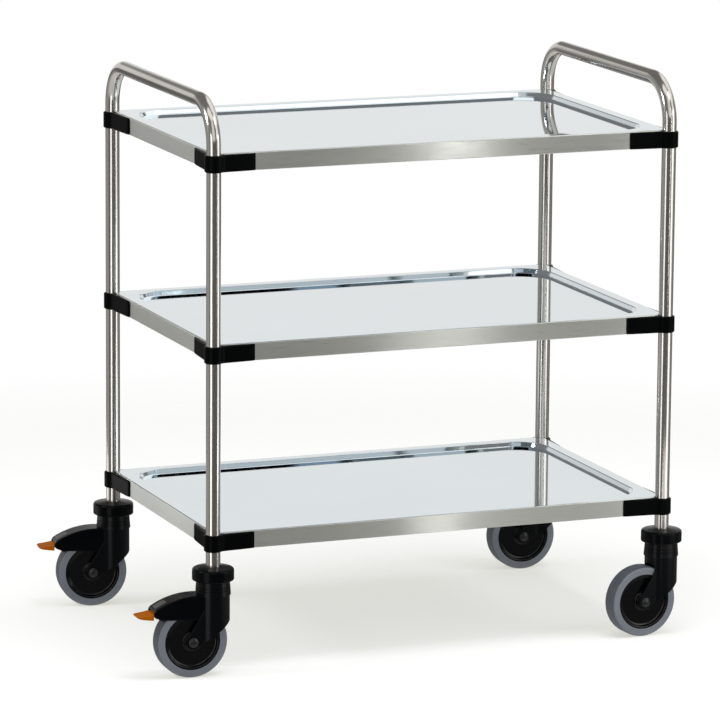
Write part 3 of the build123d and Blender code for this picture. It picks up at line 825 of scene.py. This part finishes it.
@dataclass(frozen=True)
class CornerBracket:
    """Moulded bracket round a post, with an arm along each of the two skirts that meet there."""

    layout: Layout
    sleeve: float = 0.0126
    boss_radius: float = 0.016
    blend_radius: float = 0.012
    arm_x: float = 0.074
    arm_y: float = 0.090
    proud: float = 0.004
    root_proud: float = 0.0095
    tip_proud: float = 0.0024
    taper: float = 0.008
    shoulder: float = 0.0198
    shoulder_flat: float = 0.00495
    below_rim: float = 0.0018
    height: float = 0.031
    chamfer: float = 0.0018
    soft_edge: float = 0.0004
    soft_steps: int = 2
    soft_angle: float = 25.0
    sharp: float = 40.0
    boss_corners: int = 3
    round_steps: int = 10
    round_share: float = 0.999

    def waist(self, length: float) -> tuple[float, float]:
        """Where an arm's outer line runs into the round of the boss.

        Args:
            length: How far along the arm its taper starts.

        Returns:
            Angle of the boss's round from the arm's line, and the turn of the blend, in radians.
        """
        slope = math.atan2(self.root_proud - self.proud, length)
        apart = self.boss_radius + self.blend_radius
        reach = self.blend_radius + self.root_proud * math.cos(slope)
        return math.asin(reach / apart) - slope, math.acos(reach / apart)

    def outline(self) -> tuple[list[Vector], Rounds]:
        """Plan of the bracket before its rounds, with the tray towards +X and +Y.

        Returns:
            Corners in order, and the reach of the round at each rounded one.
        """
        angle_x, turn_x = self.waist(self.arm_x - self.taper)
        angle_y, turn_y = self.waist(self.arm_y - self.taper)
        start, end = -angle_x, math.pi / 2 + angle_y - math.tau
        share = (start - end) / self.boss_corners
        wide = self.boss_radius / math.cos(share / 2)
        boss = [start - share * (number + 0.5) for number in range(self.boss_corners)]
        reach_x = self.blend_radius * math.tan(turn_x / 2)
        reach_y = self.blend_radius * math.tan(turn_y / 2)
        plan = [
            (self.arm_x, 0.0),
            (self.arm_x, -self.tip_proud),
            (self.arm_x - self.taper, -self.proud),
            self.beside(start, reach_x),
            *[(wide * math.cos(angle), wide * math.sin(angle)) for angle in boss],
            self.beside(end, -reach_y),
            (-self.proud, self.arm_y - self.taper),
            (-self.tip_proud, self.arm_y),
            (0.0, self.arm_y),
            (0.0, self.shoulder),
            (self.shoulder_flat, self.shoulder),
            (self.shoulder, self.shoulder_flat),
            (self.shoulder, 0.0),
        ]
        reaches = [reach_x, *[self.boss_radius * math.tan(share / 2)] * self.boss_corners, reach_y]
        first = plan.index(self.beside(start, reach_x))
        rounds = {first + number: self.round_share * reach for number, reach in enumerate(reaches)}
        return [Vector((x, y, -self.below_rim)) for x, y in plan], rounds

    def beside(self, angle: float, reach: float) -> Point:
        """Point on the boss's tangent at an angle, a reach along it anticlockwise."""
        x, y = self.boss_radius * math.cos(angle), self.boss_radius * math.sin(angle)
        return x - reach * math.sin(angle), y + reach * math.cos(angle)

    def blank(self) -> Piece:
        """One bracket with its rim height at zero, its post's hole cut and its edges bevelled.

        Returns:
            The bracket, before it is placed.
        """
        bm = bmesh.new()
        corners, rounds = self.outline()
        flats = plate(bm, corners, rounds, UP * (self.below_rim - self.height), self.round_steps)
        closed(bm)
        outer = [
            edge for face in flats for edge in face.edges
            if min((edge.verts[0].co + edge.verts[1].co)[:2]) / 2 < -self.tip_proud
        ]
        bevel(bm, outer, self.chamfer, 1)
        piece = show(bm, "bracket_blank", [BRACKET_PLASTIC])
        tool = bmesh.new()
        bar(tool, self.sleeve, 4 * self.height)
        shape(piece, tool)
        edge = piece.modifiers.new("soft_edge", "BEVEL")
        edge.width = self.soft_edge
        edge.segments = self.soft_steps
        edge.limit_method = "ANGLE"
        edge.angle_limit = math.radians(self.soft_angle)
        baked(piece)
        return piece

    def build(self) -> None:
        """Builds the twelve brackets and puts them on the frame."""
        blank = self.blank()
        for level, corner in product(Level, Corner):
            across, along = corner.value
            bm = bmesh.new()
            bm.from_mesh(blank.data)
            place = Matrix.Translation(self.layout.post(corner) + UP * self.layout.rim(level))
            turn = Matrix.Diagonal((-across, -along, 1.0, 1.0))
            bmesh.ops.transform(bm, matrix=place @ turn, verts=bm.verts[:])
            bmesh.ops.recalc_face_normals(bm, faces=bm.faces[:])
            name = f"bracket_{corner.label}_{level.label}"
            piece = show(bm, f"corner_{name}", [BRACKET_PLASTIC], self.sharp)
            even(piece)
            carry(piece, "frame", "bracket", name)
        bpy.data.objects.remove(blank)


@dataclass(frozen=True)
class Castor:
    """Swivel castor on a post: cap, fork, wheel and, at the left end, a brake."""

    layout: Layout
    corner: Corner
    turned_by: float
    trail: float = 0.041
    wheel_radius: float = 0.0625
    seat_radius: float = 0.049
    half_tyre: float = 0.016
    tyre_shoulder: float = 0.0045
    tyre_edge: float = 0.001
    half_hub: float = 0.0172
    hub_radius: float = 0.015
    bore_radius: float = 0.011
    half_core: float = 0.015
    half_dish: float = 0.010
    dish_radius: float = 0.0425
    lip_radius: float = 0.0455
    core_edge: float = 0.0009
    cap_inside: float = 0.032
    cap_outside: float = 0.036
    cap_bottom: float = 0.166
    cap_brim: float = 0.1865
    cap_top: float = 0.1895
    cap_wall: float = 0.004
    cap_inner_round: float = 0.0006
    cap_foot_round: float = 0.002
    cap_brim_round: float = 0.0036
    cap_top_round: float = 0.0005
    tube_end: float = 0.176
    sleeve: float = 0.0126
    cap_steps: int = 96
    wheel_steps: int = 144

    @property
    def braked(self) -> bool:
        """Whether the castor stands at the end with the brakes."""
        return self.corner.value[0] == End.LEFT.value

    @property
    def place(self) -> Matrix:
        """Takes a piece from the castor's own axes to its post."""
        turn = Matrix.Rotation(math.radians(self.turned_by), 4, "Z")
        return Matrix.Translation(self.layout.post(self.corner)) @ turn

    @property
    def axle(self) -> Vector:
        """Middle of the axle in the castor's own axes."""
        return Vector((-self.trail, 0.0, self.wheel_radius))

    def put(self, bm: BMesh, name: str, finishes: list[Finish], body: str, slot: str, node: str) -> None:
        """Takes a piece from the castor's own axes to its place, and puts it on its body.

        Args:
            bm: The piece's mesh.
            name: Its name, without its corner.
            finishes: Its finishes.
            body: Name of its body, without the corner.
            slot: The record's material slot.
            node: Name of the node that it stands for, without the corner.
        """
        label = self.corner.label
        bmesh.ops.transform(closed(bm), matrix=self.place, verts=bm.verts[:])
        piece = show(bm, f"{name}_{label}", finishes)
        even(piece)
        carry(piece, body if body == "frame" else f"{body}_{label}", slot, f"{node}_{label}")

    def cap(self) -> None:
        """Domed cap round the post."""
        inner_brim = self.cap_brim - self.cap_wall
        profile = [
            (self.cap_inside, self.cap_bottom),
            (self.cap_outside, self.cap_bottom),
            (self.cap_outside, self.cap_brim),
            (self.sleeve, self.cap_top),
            (self.sleeve, self.tube_end),
            (self.sleeve + self.cap_wall, self.tube_end),
            (self.sleeve + self.cap_wall, inner_brim),
            (self.cap_inside, inner_brim),
        ]
        rounds = dict(
            enumerate((self.cap_inner_round, self.cap_foot_round, self.cap_brim_round, self.cap_top_round))
        )
        bm = bmesh.new()
        turned(bm, profile, rounds, Vector(), UP, self.cap_steps)
        self.put(bm, "cap", [HOOD_PLASTIC], "frame", "castor_body", "castor_cap")

    def tyre(self) -> None:
        """Tyre with rounded shoulders."""
        half = self.half_tyre
        profile = [
            (self.seat_radius, -half),
            (self.wheel_radius, -half),
            (self.wheel_radius, half),
            (self.seat_radius, half),
        ]
        rounds = {0: self.tyre_edge, 1: self.tyre_shoulder, 2: self.tyre_shoulder, 3: self.tyre_edge}
        bm = bmesh.new()
        turned(bm, profile, rounds, self.axle, ACROSS, self.wheel_steps)
        # Flat sides in the lighter grey; tread and shoulders in the darker grey of wear and painted shade.
        for face in bm.faces:
            face.material_index = 0 if abs(face.calc_center_median().y) > half - self.tyre_edge else 1
        self.put(bm, "tyre", [TYRE_SIDE, TYRE_TREAD_WORN_AND_SHADED], "wheel", "tyre", "wheel_tyre")

    def core(self) -> None:
        """Dished wheel core with a lip and a hub."""
        near = [
            (self.bore_radius, self.half_hub),
            (self.hub_radius, self.half_hub),
            (self.hub_radius, self.half_dish),
            (self.dish_radius, self.half_dish),
            (self.lip_radius, self.half_core),
            (self.seat_radius, self.half_core),
        ]
        far = [(away, -along) for away, along in reversed(near)]
        last = len(near + far) - 1
        edge = self.core_edge
        rounds = {1: edge, 2: 2 * edge, 3: 2 * edge, 4: edge, 5: edge / 2}
        rounds |= {last - number: reach for number, reach in rounds.items()}
        bm = bmesh.new()
        turned(bm, near + far, rounds, self.axle, ACROSS, self.wheel_steps)
        self.put(bm, "core", [CORE_PLASTIC], "wheel", "wheel_core", "wheel_core")

    def build(self) -> None:
        """Builds the castor's new pieces, with the pedal where it has a brake."""
        self.cap()
        self.tyre()
        self.core()
        if self.braked:
            Pedal(self).build()


@dataclass(frozen=True)
class Pedal:
    """Brake pedal in its castor's own axes: toe, lever, boss and trunnions."""

    castor: Castor
    pivot: Point = (-0.1006, 0.1161)
    root: float = -0.1108
    tip: float = -0.1378
    root_drop: float = 0.0099
    hollow: float = 0.0032
    tip_drop: float = 0.0038
    tip_height: float = 0.0017
    belly_drop: float = 0.0087
    corner: float = 0.007
    half_width: float = 0.019
    half_lever: float = 0.0145
    lever_rise: float = 0.003
    boss_radius: float = 0.0055
    half_boss: float = 0.01725
    pin_radius: float = 0.003
    half_pin: float = 0.0193
    soft_edge: float = 0.0005
    soft_steps: int = 3
    sharp: float = 40.0
    hollow_share: float = 0.9
    hollow_steps: int = 10
    corner_steps: int = 8
    pin_sides: int = 40
    room: float = 1.01

    def toe(self) -> Piece:
        """Plate that the foot presses, hollowed on top, rounded below and at its two front corners.

        Returns:
            The plate by itself.
        """
        height = self.pivot[1]
        middle = (self.root + self.tip) / 2
        side = [
            (self.root, height),
            (middle, height - self.hollow),
            (self.tip, height - self.tip_drop),
            (self.tip, height - self.tip_drop - self.tip_height),
            (middle, height - self.belly_drop),
            (self.root, height - self.root_drop),
        ]
        reach = self.hollow_share * (self.root - middle)
        bm = bmesh.new()
        points = [Vector((x, -self.half_width, z)) for x, z in side]
        plate(bm, points, {1: reach, 4: reach}, ACROSS * 2 * self.half_width, self.hollow_steps)
        piece = show(closed(bm), "toe", [PEDAL_PLASTIC])
        wide = self.half_width * self.room
        plan = [
            (self.root + wide, -wide),
            (self.tip, -self.half_width),
            (self.tip, self.half_width),
            (self.root + wide, wide),
        ]
        tool = bmesh.new()
        points = [Vector((x, y, 0.0)) for x, y in plan]
        plate(tool, points, {1: self.corner, 2: self.corner}, UP * 2 * height, self.corner_steps)
        shape(piece, closed(tool), Shaping.KEEP_COMMON)
        return piece

    def build(self) -> None:
        """Builds the pedal and puts it on its body."""
        toe = self.toe()
        bm = bmesh.new()
        bm.from_mesh(toe.data)
        bpy.data.objects.remove(toe)
        low = self.pivot[1] - self.boss_radius
        lever = [
            (self.pivot[0], low),
            (self.root, low),
            (self.root, self.pivot[1]),
            (self.pivot[0], self.pivot[1] + self.lever_rise),
        ]
        points = [Vector((x, -self.half_lever, z)) for x, z in lever]
        plate(bm, points, {}, ACROSS * 2 * self.half_lever)
        place = Matrix.Translation((self.pivot[0], 0.0, self.pivot[1])) @ Matrix.Rotation(math.pi / 2, 4, "X")
        bar(bm, self.boss_radius, 2 * self.half_boss, place, self.pin_sides)
        bar(bm, self.pin_radius, 2 * self.half_pin, place, self.pin_sides)
        bmesh.ops.recalc_face_normals(bm, faces=bm.faces[:])
        limit = math.radians(self.sharp)
        sharp = [edge for edge in bm.edges if edge.is_manifold and edge.calc_face_angle() > limit]
        bevel(bm, sharp, self.soft_edge, self.soft_steps)
        self.castor.put(bm, "pedal", [PEDAL_PLASTIC], "pedal", "pedal", "brake_pedal")


@dataclass(frozen=True)
class Fittings:
    """The frame's own nodes that stay in view, each with the finish that it gets."""

    nodes: dict[str, Piece]

    def finish_of(self, name: str) -> Finish:
        """Finish of one node.

        Args:
            name: The node's name.

        Returns:
            The finish that its kind takes.
        """
        kinds = {
            "castor_fork": FORK_PLASTIC,
            "brake_housing": HOOD_PLASTIC,
            "brake_inset": INSET_PLASTIC,
            "brake_shoe": SHOE_RUBBER,
            "axle_bolt": AXLE_STEEL,
            "wheel_bushes": BUSH_PLASTIC,
        }
        return next((finish for kind, finish in kinds.items() if name.startswith(kind)), ZINC_STEEL)

    def dress(self) -> None:
        """Gives each node that is still shown its finish."""
        for name, node in sorted(self.nodes.items()):
            if not node.hide_render:
                finish = self.finish_of(name)
                for slot in node.material_slots:
                    slot.material = finish.material()
                LOG.info("%s keeps its shape, in %s", name, finish.name)


# Studio


@dataclass(frozen=True)
class Panel:
    """A soft-edged part of the room that polished metal mirrors.

    Its place is given in degrees: a bearing from the camera's side of the trolley, and heights over the
    horizon.
    """

    bearing: float
    half_width: float
    softness: float
    strength: float
    low: float = -60.0
    high: float = 18.0
    edge: float = 6.0


@dataclass(frozen=True)
class Lamp:
    """A soft rectangular light, which the camera doesn't see."""

    name: str
    place: Spot
    aim: Spot
    width: float
    height: float
    power: float
    mirrored: bool = True

    def build(self) -> None:
        """Hangs the light with its sides level and upright."""
        light = bpy.data.lights.new(self.name, "AREA")
        light.shape = "RECTANGLE"
        light.size = self.width
        light.size_y = self.height
        light.energy = self.power
        lamp = added(self.name, light)
        lamp.location = self.place
        lamp.rotation_mode = "QUATERNION"
        lamp.rotation_quaternion = (Vector(self.aim) - Vector(self.place)).to_track_quat("-Z", "Y")
        lamp.visible_camera = False
        lamp.visible_glossy = self.mirrored


@dataclass(frozen=True)
class Studio:
    """Floor, room, lights and camera."""

    eye: Spot = (-3.209, -7.960, 2.188)
    azimuth: float = -21.65
    elevation: float = 11.33
    roll: float = 0.44
    lens: float = 247.35
    farthest: float = 100.0
    floor_radius: float = 2.6
    floor_sides: int = 96
    floor_fade: tuple[float, float] = (1.3, 2.4)
    floor_colour: Colour = (0.45, 0.455, 0.50)
    glow_colour: Colour = (1.0, 0.99, 0.88)
    floor_glow: float = 0.54
    panels: tuple[Panel, ...] = (
        Panel(-100.0, 30.0, 15.0, 0.40),
        Panel(106.0, 18.0, 14.0, 0.30),
        Panel(180.0, 41.0, 16.0, 0.90, low=0.0, high=15.0),
        Panel(0.0, 180.0, 1.0, 0.22, low=14.0, high=90.0),
        Panel(128.0, 36.0, 10.0, 1.25, low=27.0, high=70.0),
        Panel(74.0, 14.0, 6.0, 1.30, low=10.0, high=54.0),
        Panel(8.0, 18.0, 8.0, 1.00, low=10.0, high=50.0),
        Panel(-5.0, 55.0, 12.0, 1.30, low=56.0, high=90.0),
    )
    room: float = 0.13
    room_colour: Colour = (1.0, 0.99, 0.97)
    ground: float = 0.75
    ground_edge: tuple[float, float] = (-18.0, -32.0)
    surround: float = 0.42
    lamps: tuple[Lamp, ...] = (
        Lamp("left_softbox", (-1.73, -1.19, 0.5), (0.0, -0.1, 0.5), 0.75, 1.8, 8.2),
        Lamp("right_softbox", (1.38, -1.32, 0.625), (0.0, -0.1, 0.625), 0.85, 1.55, 7.2),
        Lamp("strip_light", (0.57, -1.57, 1.02), (0.03, -0.26, 1.02), 0.06, 1.26, 1.22),
        Lamp("low_strip", (0.21, -0.80, 0.10), (0.0, -0.26, 0.10), 0.08, 0.18, 0.13),
        Lamp("low_right", (0.50, -0.80, 0.16), (0.27, -0.26, 0.16), 0.45, 0.12, 0.17),
        Lamp("low_left", (-0.64, 0.56, 0.16), (0.0, 0.56, 0.16), 0.50, 0.12, 0.18),
        Lamp("right_key", (2.60, -1.10, 2.5), (0.0, 0.0, 0.2), 0.9, 0.9, 18.0, False),
        Lamp("left_key", (-2.60, 0.20, 2.1), (0.0, 0.0, 0.2), 0.7, 0.7, 22.0),
        Lamp("front_softbox", (0.90, -1.32, 2.63), (0.0, 0.1, 0.75), 1.3, 0.7, 3.5),
        Lamp("overhead", (0.0, -0.45, 3.2), (0.0, -0.1, 0.0), 1.6, 1.6, 66.0, False),
    )

    def camera(self) -> None:
        """Long lens at the photograph's viewing angle."""
        turn, tilt, roll = (math.radians(angle) for angle in (self.azimuth, self.elevation, self.roll))
        back = Vector((math.sin(turn) * math.cos(tilt), -math.cos(turn) * math.cos(tilt), math.sin(tilt)))
        right = Vector((math.cos(turn), math.sin(turn), 0.0))
        up = back.cross(right)
        right, up = math.cos(roll) * right + math.sin(roll) * up, math.cos(roll) * up - math.sin(roll) * right
        lens = bpy.data.cameras.new("camera")
        lens.lens = self.lens
        lens.clip_end = self.farthest
        camera = added("camera", lens)
        axes = Matrix((right, up, back)).transposed().to_4x4()
        camera.matrix_world = Matrix.Translation(self.eye) @ axes
        bpy.context.scene.camera = camera

    def floor(self) -> None:
        """Pale round floor that fades into the white of the room."""
        bm = bmesh.new()
        bmesh.ops.create_circle(bm, cap_ends=True, segments=self.floor_sides, radius=self.floor_radius)
        floor = meshed(bm, "floor")
        paper = bpy.data.materials.new("floor_paper")
        paper.use_nodes = True
        board = NodeBoard(paper.node_tree)
        spot = board.add("TexCoord").outputs["Object"]
        away = board.add("VectorMath", {0: spot}, operation="LENGTH").outputs["Value"]
        share = board.fade(away, *self.floor_fade)
        matt = board.add("BsdfDiffuse", {"Color": (*self.floor_colour, 1.0)}).outputs["BSDF"]
        shine = {"Color": (*self.glow_colour, 1.0), "Strength": self.floor_glow}
        glow = board.add("Emission", shine).outputs["Emission"]
        lit = board.add("AddShader", {0: matt, 1: glow}).outputs["Shader"]
        clear = board.add("BsdfTransparent").outputs["BSDF"]
        mixed = board.add("MixShader", {0: share, 1: lit, 2: clear}).outputs["Shader"]
        board.add("OutputMaterial", {"Surface": mixed})
        floor.data.materials.append(paper)
        floor.visible_glossy = False

    def glow_of(self, panel: Panel, board: NodeBoard, level: Socket, height: Socket) -> Socket:
        """Wires one panel of the room.

        Args:
            panel: The panel.
            board: The world's node tree.
            level: The direction looked in, laid level.
            height: Its angle over the horizon, in radians.

        Returns:
            The panel's light in that direction.
        """
        bearing = math.radians(self.azimuth + panel.bearing)
        facing = (math.sin(bearing), -math.cos(bearing), 0.0)
        cosine = board.add("VectorMath", {0: level, 1: facing}, operation="DOT_PRODUCT")
        angle = board.add("Math", {0: cosine.outputs["Value"]}, operation="ARCCOSINE")
        side, low, high, edge = map(math.radians, (panel.half_width, panel.low, panel.high, panel.edge))
        across = board.fade(angle.outputs["Value"], side + math.radians(panel.softness), side)
        above = board.fade(height, low - edge, low)
        below = board.fade(height, high + edge, high)
        part = board.joined("MULTIPLY", across, board.joined("MULTIPLY", above, below))
        return board.joined("MULTIPLY", part, panel.strength)

    def world(self) -> None:
        """Room of soft panels over bright ground, plain white where the camera looks straight at it."""
        world = bpy.data.worlds.new("room")
        bpy.context.scene.world = world
        world.use_nodes = True
        board = NodeBoard(world.node_tree)
        look = board.add("TexCoord").outputs["Generated"]
        flat = board.add("VectorMath", {0: look, 1: (1.0, 1.0, 0.0)}, operation="MULTIPLY")
        level = board.add("VectorMath", {0: flat.outputs["Vector"]}, operation="NORMALIZE")
        rise = board.add("SeparateXYZ", {0: look}).outputs["Z"]
        height = board.add("Math", {0: rise}, operation="ARCSINE").outputs["Value"]
        light = self.room
        for panel in self.panels:
            glow = self.glow_of(panel, board, level.outputs["Vector"], height)
            light = board.joined("MAXIMUM", light, glow)
        lower = board.fade(height, *map(math.radians, self.ground_edge))
        mixed = board.add("Mix", {0: lower, 2: light, 3: self.ground}).outputs[0]
        mirrored = board.add("Background", {"Color": (*self.room_colour, 1.0), "Strength": mixed})
        around = board.add("Background", {"Color": WHITE, "Strength": self.surround})
        plain = board.add("Background", {"Color": WHITE, "Strength": 1.0})
        ray = board.add("LightPath").outputs
        soft = {0: ray["Is Diffuse Ray"], 1: mirrored.outputs["Background"], 2: around.outputs["Background"]}
        room = board.add("MixShader", soft).outputs["Shader"]
        seen = {0: ray["Is Camera Ray"], 1: room, 2: plain.outputs["Background"]}
        whole = board.add("MixShader", seen).outputs["Shader"]
        board.add("OutputWorld", {"Surface": whole})
        world.cycles.sampling_method = "NONE"

    def build(self) -> None:
        """Builds the studio."""
        self.camera()
        self.floor()
        self.world()
        for lamp in self.lamps:
            lamp.build()
        bpy.context.scene.view_settings.view_transform = "Standard"
        LOG.info("studio ready")


def main() -> None:
    """Builds the trolley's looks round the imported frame."""
    logging.basicConfig(level=logging.INFO, format="%(name)s: %(message)s")
    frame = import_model()
    layout = Layout()
    Studio().build()
    for end in End:
        EndFrame(layout, end).build()
    Trays(layout).build()
    CornerBracket(layout).build()
    for corner, turned_by in CASTOR_TURNS.items():
        Castor(layout, corner, turned_by).build()
    Fittings(frame["nodes"]).dress()


if __name__ == "__main__":
    main()
